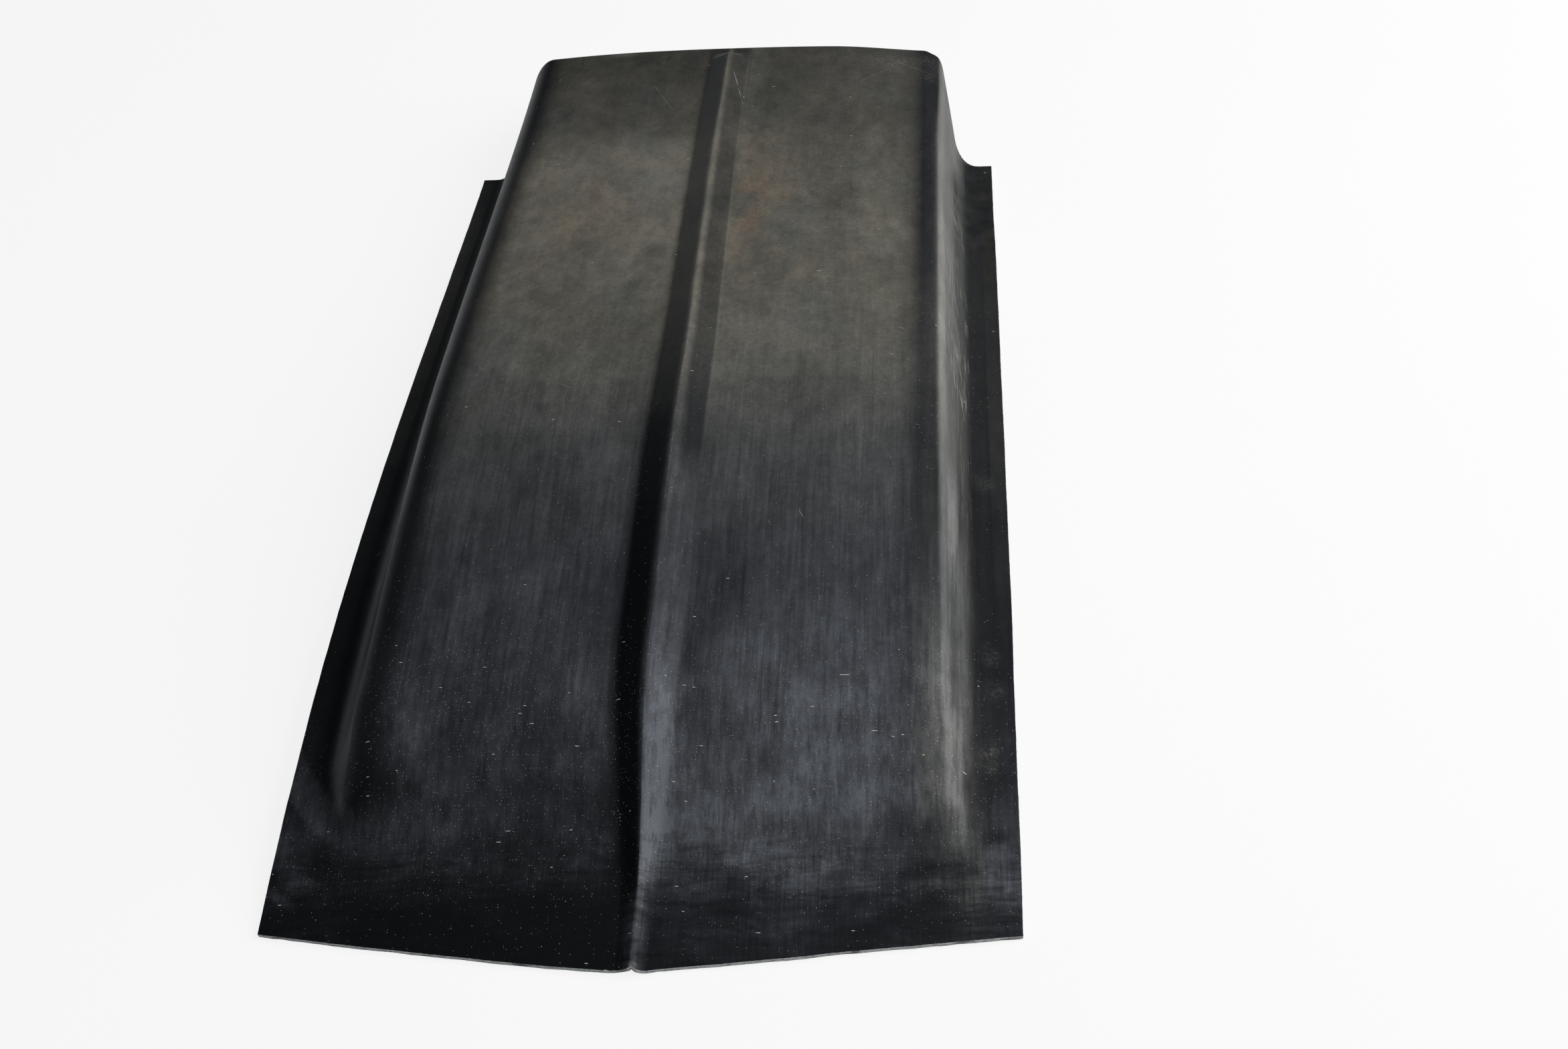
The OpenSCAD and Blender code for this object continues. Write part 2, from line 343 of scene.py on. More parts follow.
def normals(grid):
    across = np.empty_like(grid)
    across[:, 1:-1] = grid[:, :-2] - grid[:, 2:]
    across[:, 0] = grid[:, 0] - grid[:, 1]
    across[:, -1] = grid[:, -2] - grid[:, -1]
    lengthwise = np.empty_like(grid)
    lengthwise[1:-1] = grid[2:] - grid[:-2]
    lengthwise[0] = grid[1] - grid[0]
    lengthwise[-1] = grid[-1] - grid[-2]
    n = np.cross(across, lengthwise)
    return n / np.linalg.norm(n, axis=-1, keepdims=True)


# The inner skin, and both lifted until the lowest point stands on the floor
inner = skin - WALL_T * normals(skin)
lift = -min(skin[..., 2].min(), inner[..., 2].min())
skin[..., 2] += lift
inner[..., 2] += lift

OUTSIDE, INSIDE, CUT = range(3)
# Places through the laminate from 0 to 1, and how far the cut edge swells there, in mm
RIM_STEPS = ((0.0, 0.0), (0.05, 0.14), (0.2, 0.22), (0.5, 0.26), (0.8, 0.22), (0.95, 0.14), (1.0, 0.0))


def rim_loop():
    """Grid places round the cut edge, starting at the front right corner"""
    loop = [(0, i) for i in range(COLS)]
    loop += [(j, COLS - 1) for j in range(1, ROWS)]
    loop += [(ROWS - 1, i) for i in range(COLS - 2, -1, -1)]
    loop += [(j, 0) for j in range(ROWS - 2, 0, -1)]
    return loop


def rim_rings():
    """Rings of points over the cut edge, which is slightly swollen and ragged, with its arrises broken"""
    loop = rim_loop()
    out = np.array([skin[j, i] for j, i in loop])
    inn = np.array([inner[j, i] for j, i in loop])
    ahead = np.roll(out, -1, 0) - np.roll(out, 1, 0)
    face_out = np.cross(ahead, out - inn)
    face_out /= np.linalg.norm(face_out, axis=-1, keepdims=True)
    if ((out - out.mean(0)) * face_out).sum() < 0:
        face_out = -face_out
    length = np.concatenate([[0], np.cumsum(np.linalg.norm(np.diff(out, axis=0), axis=-1))])
    rings = []
    for m, (through, swell) in enumerate(RIM_STEPS):
        ragged = swell * (1 + 0.9 * value_noise(length, 4, 20 + m) + 0.5 * value_noise(length, 17, 40 + m))
        rings.append(out + (inn - out) * through + face_out * ragged[:, None])
    return rings


def grid_quads():
    """The outer skin's faces, which look outward because the grid runs from +X to -X"""
    idx = np.arange(ROWS * COLS).reshape(ROWS, COLS)
    a, b, c, d = idx[:-1, :-1], idx[:-1, 1:], idx[1:, 1:], idx[1:, :-1]
    return np.stack([b, c, d, a], -1).reshape(-1, 4)


def build_shell():
    rings = rim_rings()
    verts = np.concatenate([skin.reshape(-1, 3), inner.reshape(-1, 3), *rings]) / 1000
    outer_quads = grid_quads()
    inner_quads = outer_quads[:, ::-1] + ROWS * COLS
    faces = outer_quads.tolist() + inner_quads.tolist()
    slots = [OUTSIDE] * len(outer_quads) + [INSIDE] * len(inner_quads)
    n = len(rings[0])
    for m in range(len(rings) - 1):
        low = 2 * ROWS * COLS + m * n
        high = low + n
        for k in range(n):
            after = (k + 1) % n
            faces.append((high + k, high + after, low + after, low + k))
            slots.append(CUT)
    mesh = bpy.data.meshes.new("moulded_shell")
    mesh.from_pydata(verts.tolist(), [], faces)
    mesh.polygons.foreach_set("material_index", slots)
    mesh.polygons.foreach_set("use_smooth", [True] * len(faces))
    mesh.update()
    return mesh


shell_mesh = build_shell()
shell = bpy.data.objects.new("moulded_shell", shell_mesh)
scene.collection.objects.link(shell)


def shell_attribute(name, outer_values, other):
    """One number for each vertex: the outer skin's grid values, and a plain one elsewhere"""
    data = np.full(len(shell_mesh.vertices), float(other))
    data[: ROWS * COLS] = outer_values.reshape(-1)
    layer = shell_mesh.attributes.new(name, "FLOAT", "POINT")
    layer.data.foreach_set("value", data)


# Where the dust, the painted light and shade, the specks and the worn places lie: places in mm on the plan
# view, amounts as shares
X, Y = skin[..., 0], skin[..., 1]


def spot(cx, cy, rx, ry, turn=0.0):
    """Soft round spot on the plan view, in mm"""
    c, s = math.cos(math.radians(turn)), math.sin(math.radians(turn))
    u, v = (X - cx) * c + (Y - cy) * s, -(X - cx) * s + (Y - cy) * c
    return np.exp(-((u / rx) ** 2 + (v / ry) ** 2))


def along(*knots):
    """Smooth curve along the shell through (place in mm, value) pairs"""
    places, values = np.array(knots, float).T
    i = np.clip(np.searchsorted(places, Y) - 1, 0, len(places) - 2)
    return values[i] + (values[i + 1] - values[i]) * blend((Y - places[i]) / (places[i + 1] - places[i]))


def two_noises(first, second):
    """Two smooth noises over the plan view, the larger one stronger"""
    return value_noise_2d(*first) * 0.6 + value_noise_2d(*second) * 0.4


on_roof = np.isin(kinds, (ROOF, RIDGE, SHOULDER))
on_edge, on_foot, on_wall, on_shoulder, on_ridge = (
    kinds == kind for kind in (EDGE, FOOT, WALL, SHOULDER, RIDGE)
)
on_flange = 1 - blend((300 - np.abs(X)) / 40)
to_right = np.where(on_ridge, right_side, X > 0).astype(float)
clouds = two_noises((X, Y, 95, 11), (X, Y, 42, 12))
streaks = two_noises((X * 9, Y * 0.9, 130, 13), (X * 16, Y, 110, 14))
smudges = two_noises((X, Y, 16, 17), (X, Y, 8, 18))
puffs = value_noise_2d(X, Y * 1.9, 62, 21) * 0.55 + value_noise_2d(X, Y * 1.9, 27, 22) * 0.45

# The dusty crescent at the front left lies outside one circle and inside another: centres and radii in mm
WET_CIRCLE, DUSTY_CIRCLE = (-105, -356, 226), (-184, -438, 140)
wet_r = np.hypot(X - WET_CIRCLE[0], Y - WET_CIRCLE[1])
dusty_r = np.hypot(X - DUSTY_CIRCLE[0], Y - DUSTY_CIRCLE[1])
crescent = rise(wet_r, WET_CIRCLE[2], 4) * fall(dusty_r, DUSTY_CIRCLE[2], 4) * fall(X, -275, 40) * (Y < -430)


def roof_film():
    """Dust left and right of the ridge: thick towards the rear, thin and patchy over the nose; the amount
    falls again near the rear edge, which is darker there
    """
    left = along(
        (-676, 0.01), (-624, 0.012), (-585, 0.06), (-540, 0.22), (-480, 0.28), (-316, 0.24), (-170, 0.34),
        (-105, 0.43), (-41, 0.53), (240, 0.74), (380, 0.80), (520, 0.36), (676, 0.26)
    )
    right = along(
        (-676, 0.05), (-624, 0.10), (-585, 0.25), (-532, 0.76), (-480, 0.56), (-420, 0.42), (-316, 0.27),
        (-170, 0.36), (-105, 0.48), (-41, 0.60), (240, 0.60), (380, 0.56), (520, 0.39), (676, 0.27)
    )
    dust_and_painted_light = left + (right - left) * to_right
    dust_and_painted_light += 0.07 * spot(88, 166, 34, 24)
    dust_and_painted_light *= 1 + along((-450, 0.35), (-150, 0.12)) * clouds + 0.08 * streaks
    thinned = along((-620, 0), (-560, 1), (-420, 0.9), (-320, 0.3), (-240, 0))
    dust_and_painted_light *= 1 - 0.42 * rise(X, 23, 6) * fall(X, 50, 60) * thinned
    return dust_and_painted_light * (1 + along((-676, 1.1), (-560, 1.0), (-500, 0.5), (-400, 0)) * puffs)


def column_dust_and_light_share(kind, k, on_right):
    """Share of the roof's dust that a column takes, with painted light and shade: painted shade over the top
    of the right shoulder and the roof's edge beside it, the right wall and the shoulder's lower part painted
    lit, and painted shade all down the left side, which faces away from the light; thin on the flanges
    """
    if kind == EDGE:
        return 0.16 if on_right else 0.1
    if kind == FOOT:
        return 0.10 + 0.5 * rise(k, 0.6, 0.4) * on_right
    if kind == WALL:
        return 0.95 if on_right else 0.2
    if kind == SHOULDER:
        return 1.3 - 1.05 * rise(k, 0.28, 0.2) if on_right else 0.2 - 0.10 * k
    if kind == ROOF:
        return 0.25 + 0.75 * blend(k / 0.11) if on_right else 0.10 + 0.90 * blend(k / 0.12)
    return 1.0


def add_side_dust_and_light(dust_and_painted_light):
    """The sides: the roof's dust as each column takes it, and bands of their own along the walls: a painted
    lit band down the right wall and the top of its foot, weaker about the middle, a painted reflection down
    the left wall and foot at the front, and painted shade deepening the band over the right shoulder towards
    the rear
    """
    column_film = np.array([column_dust_and_light_share(kind, k, right) for (kind, k), right in zip(all_columns, right_side)])
    forward = fall(Y, -430, 330)
    kept = np.maximum(column_film, 0.75 * ((kinds >= SHOULDER) & right_side))
    by_column = column_film * (1 - forward) + kept * forward
    apron = fall(Y, -585, 75)
    dust_and_painted_light = dust_and_painted_light * (by_column * (1 - apron) + apron)
    left_gain = along((-350, 1.1), (-100, 3.2), (300, 5))
    right_gain = along((-450, 1), (-200, 1.5), (-50, 1.4), (150, 1), (400, 0.85))
    dust_and_painted_light *= np.where(on_edge & left_side, left_gain, 1)
    dust_and_painted_light *= np.where(on_edge & right_side, right_gain, 1)
    # Painted light: the right wall, which faces the light, keeps at least this much, with streaks; the top
    # of its foot gets a painted band of its own towards the nose
    least = along((-575, 0), (-530, 0.36), (-400, 0.4), (-200, 0.66), (0, 0.4), (240, 0.5))
    dust_and_painted_light = np.where(on_wall & right_side, np.maximum(dust_and_painted_light, least * (1 + 1.1 * streaks)), dust_and_painted_light)
    painted_foot_light = (on_foot & right_side) * rise(share, 0.3, 0.7)
    dust_and_painted_light += 0.4 * painted_foot_light * along((-575, 0), (-530, 1), (-350, 0.8), (-150, 0)) * (1 + 0.4 * streaks)
    # Painted reflection: a soft pale band down the left wall and the top of its foot at the front
    painted_left_reflection = (0.9 * on_wall + 0.95 * on_foot * rise(share, 0.35, 0.5)) * left_side
    dust_and_painted_light += painted_left_reflection * along((-515, 0), (-480, 1), (-420, 0.8), (-330, 0))
    # Painted shade: the dark band over the right shoulder, darker towards the rear
    rubbed = (kinds >= SHOULDER) & right_side & (column_film < 0.6)
    dust_and_painted_light *= 1 - 0.5 * rubbed * rise(Y, 40, 160) * (1 + 0.5 * smudges)
    return np.where(on_wall & right_side, dust_and_painted_light * (1 - 0.4 * spot(252, 10, 60, 120)), dust_and_painted_light)


# The ridge's flanks end at this share of its half width, where the hollow at their feet begins
FLANK_SHARE = 0.84


def add_ridge_dust_and_light(dust_and_painted_light):
    """The ridge: painted shade keeps its left flank and the roof beside its left foot black, as they face
    away from the light; its right flank is thin at the rear and fuller over the nose, where a painted
    highlight runs beside the crest and over the tip; pale lines run along the crest and just past the right
    foot towards the rear
    """
    past = np.maximum(np.abs(X - wander) - FLANK_SHARE * ridge_width(station) / 2, 0)
    # Painted shade: how much of the dust is taken off the ridge's left flank and the strip beside its foot,
    # along the ridge
    painted_left_shade = along(
        (-676, 0), (-610, 0.5), (-570, 0.97), (-330, 0.98), (-170, 0.88), (-80, 0.72), (200, 0.68),
        (600, 0.5)
    )
    left_flank = np.where(on_ridge, blend(share / 0.25), 1)
    left_flank = left_flank * bell(past / along((-450, 9), (-200, 8), (100, 5)))
    right_flank = rise(share, 0.1, along((-250, 0.4), (0, 0.18))) * on_ridge
    right_flank = right_flank * fall(past, 0, along((-250, 4.5), (100, 2.5)))
    right_gain = along(
        (-620, 0), (-545, 0.55), (-480, 0.15), (-430, 0), (-330, 0.05), (-240, -0.2), (-160, -0.8),
        (0, -0.6), (300, -0.58), (560, -0.35)
    )
    dust_and_painted_light = dust_and_painted_light * np.where(to_right > 0, 1 + right_flank * right_gain, 1 - left_flank * painted_left_shade)
    dust_and_painted_light += 0.14 * bell((X - wander - 33) / 9) * rise(Y, 40, 120)
    # Painted highlight: a bright streak on the right flank beside the crest near the nose, and over the
    # whole ridge at its tip
    glow = bell((share - 0.18) / 0.2) * on_ridge * to_right
    glow = np.maximum(glow, bell(share / 0.5) * on_ridge * fall(Y, -650, 60))
    dust_and_painted_light += 0.45 * glow * along((-676, 0.5), (-590, 1), (-540, 0.9), (-480, 0)) * (1 + 0.5 * streaks)
    return dust_and_painted_light + 0.25 * bell((X - wander - 0.5) / 2.2) * rise(Y, -130, 200)


def add_marks_in_film(dust_and_painted_light):
    """The crescent with a smear and a rubbed patch beside it, and smudges on the right flange's rear"""
    dust_and_painted_light = dust_and_painted_light + 0.14 * crescent * (1 + 0.5 * smudges)
    dust_and_painted_light += 0.08 * spot(-288, -588, 30, 10, -42) * (1 + 0.6 * smudges) + 0.16 * spot(-300, -606, 12, 3, -30)
    dust_and_painted_light *= 1 - 0.7 * spot(-238, -517, 19, 16)
    return dust_and_painted_light * (1 + (X > 262) * (Y > 330) * (0.2 + 1.3 * smudges))


def speck_share():
    """Pale specks and lint: thickest over the nose"""
    specks = 0.2 + 0.95 * bell((Y + 500) / 95) + 0.35 * spot(-150, -470, 160, 120) + 0.5 * crescent
    return specks * (1 - 0.4 * on_flange)


# Half-moon marks on the right flange: places and turns. Smears elsewhere: places, half sizes and amounts
HALF_MOONS = ((290, -355, 20), (293, -397, 10), (289, -462, -30), (287, -478, 15), (290, -120, 0))
SMEARS = (
    (-200, 4, 9, 34, 0.22), (-186, -30, 5, 22, 0.16), (156, 561, 14, 26, 0.2), (125, 596, 22, 12, 0.16),
    (92, 640, 60, 8, 0.12), (240, 590, 12, 20, 0.16), (-228, 300, 5, 30, 0.12), (176, -40, 6, 26, 0.16),
    (-118, -330, 14, 12, 0.14)
)


def worn_share():
    """Worn, pale places: the ridge's crest and tip, the rear edge with its corner, the right shoulder"""
    crest = bell((X - wander) / 1.2) * on_ridge
    crest = crest * along((-260, 0), (-175, 0.75), (-60, 0.95), (20, 0.5), (560, 0.3))
    worn = crest * (0.6 + 0.4 * value_noise(Y, 5, 33))
    rear_edge = bell(gap / 4) * on_roof
    worn += 0.9 * rear_edge * (0.3 + 0.7 * np.clip(value_noise_2d(X, Y, 26, 15) + 0.2, 0, 1))
    worn += 0.6 * spot(205, 628, 50, 20) * (0.6 + 0.6 * smudges) + 0.8 * spot(-141, 664, 16, 4)
    shoulder_line = bell((X - 253) / 3) * bell((Y - 40) / 200)
    worn += 0.55 * shoulder_line * np.clip(value_noise(Y, 23, 34), 0, 1)
    for cx, cy, turn in HALF_MOONS:
        worn += 0.3 * spot(cx, cy, 7, 9, turn) * (1 - 0.9 * spot(cx - 3, cy + 3, 5, 6.5, turn))
    worn += 0.8 * bell((X - 1.5) / 3) * (Y < -670)
    for cx, cy, rx, ry, amount in SMEARS:
        worn += amount * spot(cx, cy, rx, ry) * np.clip(0.5 + 1.2 * smudges, 0, 1.6)
    return worn


def dull_share():
    """Duller gel coat: the right wall, most of all round the nose, and the left shoulder's front"""
    right_wall = (on_wall & right_side) * along((-600, 0), (-520, 0.5), (-360, 0.5), (-150, 0.3), (100, 0.2))
    left_shoulder = (on_shoulder & left_side) * along((-540, 0), (-500, 0.9), (-300, 0.6), (-150, 0))
    return right_wall + left_shoulder


def scuffed_share():
    """Whitish scuffs along the right wall"""
    near_wall = on_wall | (on_shoulder & (share < 0.4)) | (on_foot & (share > 0.5))
    strength = along((-420, 0), (-250, 0.3), (-60, 0.45), (20, 1), (150, 0.9), (260, 0.4), (520, 0.3))
    return (near_wall & right_side) * strength


def warmth_share():
    """The dust's warmth: cold grey at the nose, warm grey at the rear, between the two on the right wall"""
    warmth = rise(Y, -410, 540)
    beside_wall = np.isin(kinds, (FOOT, WALL, SHOULDER)) & right_side
    return np.where(beside_wall, np.clip(warmth, 0.45, 0.6), warmth)


def brown_share():
    """Browner dust beside the ridge and on the left of the roof"""
    beside_ridge = spot(38, 270, 14, 120) + spot(92, 172, 36, 34) + 0.5 * spot(60, 330, 40, 90)
    return beside_ridge + 0.5 * spot(-150, 270, 60, 100)


dust_and_painted_light = add_marks_in_film(add_ridge_dust_and_light(add_side_dust_and_light(roof_film())))
shell_attribute("dust_and_painted_light", np.clip(dust_and_painted_light, 0, 1.5), 0.1)
shell_attribute("specks", np.clip(speck_share(), 0, 1.3), 0)
shell_attribute("worn", np.clip(worn_share(), 0, 1), 0)
shell_attribute("dull", np.clip(dull_share(), 0, 1), 0)
shell_attribute("scuffed", scuffed_share(), 0)
shell_attribute("warmth", warmth_share(), 0.5)
shell_attribute("brown", np.clip(brown_share(), 0, 1), 0)


RESIN_IOR = 1.5


class Nodes:
    """A short way to write the nodes of a material or a world"""

    def __init__(self, owner, output_kind):
        self.owner = owner
        owner.use_nodes = True
        self.tree = owner.node_tree
        self.tree.nodes.clear()
        self.output = self.tree.nodes.new("ShaderNodeOutput" + output_kind)

    def add(self, kind, inputs=None, **settings):
        node = self.tree.nodes.new("ShaderNode" + kind)
        for key, value in settings.items():
            setattr(node, key, value)
        for key, value in (inputs or {}).items():
            self.set(node.inputs[key], value)
        return node

    def set(self, socket, value):
        if isinstance(value, bpy.types.NodeSocket):
            self.tree.links.new(value, socket)
        elif isinstance(value, bpy.types.Node):
            self.tree.links.new(value.outputs[0], socket)
        else:
            socket.default_value = value

    def finish(self, shader):
        self.set(self.output.inputs["Surface"], shader)
        return self.owner

    def math(self, operation, a, b=0.0, c=None, clamp=False):
        inputs = {0: a, 1: b}
        if c is not None:
            inputs[2] = c
        return self.add("Math", inputs, operation=operation, use_clamp=clamp).outputs[0]

    def product(self, first, *others):
        for other in others:
            first = self.math("MULTIPLY", first, other)
        return first

    def mix(self, factor, a, b):
        """Mix of two colours"""
        node = self.add("Mix", data_type="RGBA", blend_type="MIX")
        self.set(node.inputs[0], factor)
        self.set(node.inputs[6], a)
        self.set(node.inputs[7], b)
        return node.outputs[2]

    def blend(self, factor, a, b):
        """Mix of two numbers"""
        return self.math("MULTIPLY_ADD", self.math("SUBTRACT", b, a), factor, a)

    def swing(self, noise, amount, least):
        """Factor that swings about 1 with a noise, and stays above a least value"""
        swung = self.math("MULTIPLY_ADD", self.math("SUBTRACT", noise, 0.5), amount, 1.0)
        return self.math("MAXIMUM", swung, least)

    def line_mask(self, place, start, end, width):
        """1 along a line between two places given in mm on the plan view, fading over a width in metres"""
        (x0, y0), (x1, y1) = start, end
        length = math.hypot(x1 - x0, y1 - y0)
        origin, turn = (x0 / 1000, y0 / 1000, 0), (0, 0, math.atan2(y1 - y0, x1 - x0))
        turned = self.add(
            "Mapping", {"Vector": place, "Location": origin, "Rotation": turn}, vector_type="TEXTURE"
        )
        part = self.add("SeparateXYZ", {0: turned.outputs[0]})
        starting = self.remap(part.outputs[0], 0, length / 4000)
        ending = self.remap(part.outputs[0], length / 1000, length / 1333)
        return self.product(starting, ending, self.remap(self.math("ABSOLUTE", part.outputs[1]), width, 0))

    def remap(self, value, low, high, to_low=0.0, to_high=1.0):
        inputs = {"Value": value, "From Min": low, "From Max": high, "To Min": to_low, "To Max": to_high}
        return self.add("MapRange", inputs, interpolation_type="SMOOTHSTEP").outputs[0]

    def stretched(self, source, scale, turn=(0, 0, 0)):
        return self.add("Mapping", {"Vector": source, "Scale": scale, "Rotation": turn}).outputs[0]

    def noise(self, vector, scale, detail=4.0, rough=0.55):
        inputs = {"Vector": vector, "Scale": scale, "Detail": detail, "Roughness": rough}
        return self.add("TexNoise", inputs).outputs["Fac"]

    def long_noise(self, source, scale, detail, rough, turn=(0, 0, 0)):
        """Noise with its own scale along each axis"""
        return self.noise(self.stretched(source, scale, turn), 1.0, detail, rough)

    def bump(self, strength, distance, height, below=None):
        inputs = {"Strength": strength, "Distance": distance, "Height": height}
        if below is not None:
            inputs["Normal"] = below
        return self.add("Bump", inputs)

    def surface(self, colour, rough, relief):
        """The finished material, with the gloss of resin"""
        inputs = {"Base Color": colour, "Roughness": rough, "IOR": RESIN_IOR, "Normal": relief}
        return self.finish(self.add("BsdfPrincipled", inputs))

    def attribute(self, name):
        return self.add("Attribute", attribute_name=name).outputs["Fac"]


# Fine scratches on the plan view in mm, each from one end to the other, with a share of full strength
SCRATCHES = (
    ((0, 602), (9, 562), 0.9), ((9, 562), (17, 521), 0.7), ((-97, 585), (-62, 505), 0.35),
    ((-262, -232), (-254, -190), 0.8), ((-291, -216), (-285, -208), 0.7), ((206, 22), (214, 18), 0.8),
    ((176, -36), (180, -48), 0.5), ((-120, -70), (-104, -78), 0.4), ((150, 574), (186, 612), 0.35),
    ((188, 640), (242, 602), 0.4), ((120, -250), (126, -262), 0.5), ((232, -648), (228, -660), 0.8),
    ((261, 95), (265, 60), 0.8), ((263, 84), (270, 36), 0.7), ((260, 42), (263, -8), 0.6),
    ((266, 22), (272, -34), 0.6), ((262, 190), (268, 150), 0.5),
)
SCRATCH_W = 0.0006

# Colours of the gel coat and what lies on it; the dust colours also show the painted light and shade
GEL_BLACK = (0.0026, 0.0029, 0.0040, 1)
COLD_DUST, WARM_DUST = (0.137, 0.148, 0.170, 1), (0.176, 0.168, 0.138, 1)
GREY_DUST, BROWN_DUST = (0.142, 0.147, 0.142, 1), (0.215, 0.165, 0.125, 1)
SPECK, SCRATCH, RUBBED = (0.70, 0.69, 0.64, 1), (0.36, 0.36, 0.35, 1), (0.30, 0.29, 0.27, 1)


class GelCoat(Nodes):
    """Black gel coat under a wiped layer of dust that also carries painted light and shade, with specks,
    scratches and rubbed places
    """

    def __init__(self):
        super().__init__(bpy.data.materials.new("black_gel_coat"), "Material")
        self.place = self.add("TexCoord").outputs["Object"]
        self.along_y = self.add("SeparateXYZ", {0: self.place}).outputs[1]
        self.speck_amount = self.attribute("specks")
        self.fine_streak = self.long_noise(self.place, (520, 16, 120), 3, 0.6)
        self.blotch = self.long_noise(self.place, (19, 10, 19), 6, 0.62)
        self.mottle = self.long_noise(self.place, (62, 38, 62), 5, 0.65)

    def wiped_dust_and_light(self):
        """Wipe marks: lengthwise over the roof, crosswise and cloudy over the apron"""
        length_streak = self.long_noise(self.place, (210, 7, 60), 5, 0.6)
        crosswise = self.stretched(self.place, (22, 150, 60), (0, 0, 0.06))
        bend = self.math("MULTIPLY", self.noise(self.place, 14, 3), 5.0)
        swirl = self.add("VectorMath", {0: crosswise, 1: bend}, operation="ADD").outputs[0]
        cross_streak = self.noise(swirl, 1.0, 5, 0.65)
        apron = self.remap(self.along_y, -0.525, -0.59)
        streak = self.blend(apron, length_streak, cross_streak)
        wiped = self.math("ADD", self.remap(self.along_y, 0.08, -0.35, 0.14, 0.9), apron)
        return self.product(
            self.attribute("dust_and_painted_light"),
            self.swing(streak, self.math("MULTIPLY", wiped, 2.0), 0.25),
            self.swing(self.fine_streak, self.math("MULTIPLY", wiped, 1.1), 0.3),
        )

    def dust_and_light_amount(self):
        """The dust and painted light with its blotches, which are faint at the rear and strong over the
        nose, and its grain
        """
        nose = self.remap(self.along_y, -0.15, -0.5)
        stain = self.remap(self.long_noise(self.place, (15, 8, 15), 9, 0.72), 0.49, 0.56)
        return self.product(
            self.wiped_dust_and_light(),
            self.swing(self.blotch, self.remap(nose, 0, 1, 1.05, 2.0), 0.2),
            self.swing(self.mottle, self.remap(nose, 0, 1, 1.0, 1.3), 0.3),
            self.math("MULTIPLY_ADD", stain, -0.14, 1.07),
            self.swing(self.noise(self.place, 190, 2, 0.6), 0.5, 0.5),
            self.swing(self.noise(self.place, 620, 2, 0.6), 0.8, 0.4),
        )

    def dust(self):
        """Warm grey dust at the rear with browner and greyer patches, cold grey at the nose"""
        brown = self.product(self.attribute("brown"), self.remap(self.blotch, 0.4, 0.6))
        warm = self.mix(brown, WARM_DUST, BROWN_DUST)
        grey = self.remap(self.long_noise(self.place, (11, 6, 11), 5, 0.6, (0, 0, 0.8)), 0.5, 0.66, 0, 0.5)
        return self.mix(self.attribute("warmth"), COLD_DUST, self.mix(grey, warm, GREY_DUST))

    def speck_layer(self, scale, size, amount, power):
        """Round pale specks of many sizes"""
        cells = self.add(
            "TexVoronoi", {"Vector": self.place, "Scale": scale, "Randomness": 1.0}, voronoi_dimensions="2D"
        )
        chance = self.add("SeparateColor", {0: cells.outputs["Color"]})
        radius = self.math("MULTIPLY", self.math("POWER", chance.outputs[1], power), size)
        dot = self.remap(self.math("SUBTRACT", radius, cells.outputs["Distance"]), 0, 0.03)
        some = self.math("LESS_THAN", chance.outputs[0], self.math("MULTIPLY", self.speck_amount, amount))
        return self.product(dot, some, self.remap(chance.outputs[2], 0, 1, 0.35, 1.0))

    def lint_layer(self, turn, channel):
        """Short bent lint that lies one way"""
        bent = self.math("MULTIPLY", self.noise(self.place, 40, 2), 1.4)
        laid = self.stretched(self.place, (70, 420, 1), (0, 0, turn))
        spread = self.add("VectorMath", {0: laid, 1: bent}, operation="ADD")
        cells = self.add("TexVoronoi", {"Vector": spread, "Scale": 1.0}, voronoi_dimensions="2D")
        chance = self.add("SeparateColor", {0: cells.outputs["Color"]})
        limit = self.math("MULTIPLY", self.speck_amount, 0.006)
        some = self.math("LESS_THAN", chance.outputs[channel], limit)
        return self.product(self.math("LESS_THAN", cells.outputs["Distance"], 0.1), some)

    def pale_dots(self):
        """Specks in two sizes, and lint lying two ways"""
        fine, coarse = self.speck_layer(420, 0.13, 0.5, 1.5), self.speck_layer(170, 0.06, 0.2, 2.0)
        specks = self.math("MAXIMUM", fine, coarse)
        lint = self.math("MAXIMUM", self.lint_layer(0.7, 0), self.lint_layer(2.2, 1))
        return self.math("MAXIMUM", specks, lint)

    def scratched(self):
        marks = None
        for start, end, strength in SCRATCHES:
            mark = self.product(self.line_mask(self.place, start, end, SCRATCH_W), strength)
            marks = mark if marks is None else self.math("MAXIMUM", marks, mark)
        return self.product(marks, self.remap(self.mottle, 0.35, 0.6, 0.3, 1.0))

    def rubbed(self):
        """Gritty rubbed places, and long scuffs on the right wall"""
        grit = self.remap(self.noise(self.place, 320, 3, 0.7), 0.42, 0.62)
        rub = self.product(self.attribute("worn"), self.remap(grit, 0, 1, 0.25, 1.0))
        scuff = self.remap(self.long_noise(self.place, (300, 15, 260), 5, 0.65, (0, 0, 0.04)), 0.52, 0.68)
        return self.math("MAXIMUM", rub, self.product(scuff, self.attribute("scuffed"), 0.8))

    def roughness(self, dust_and_light_amount, rub):
        uneven = self.remap(self.mottle, 0.3, 0.7, -0.02, 0.03)
        rough = self.math("ADD", self.remap(dust_and_light_amount, 0, 0.8, 0.34, 0.48), uneven)
        rough = self.math("ADD", rough, self.product(self.attribute("dull"), 0.36))
        return self.math("ADD", rough, self.product(rub, 0.2), clamp=True)

    def relief(self):
        """Long soft waves of the moulding, fine scratches of the wiping, and the coat's own grain"""
        waves = self.bump(0.35, 0.0012, self.long_noise(self.place, (9, 4, 9), 2, 0.5))
        wiping = self.bump(0.12, 0.0002, self.fine_streak, waves)
        return self.bump(0.08, 0.0001, self.noise(self.place, 420, 2, 0.5), wiping)

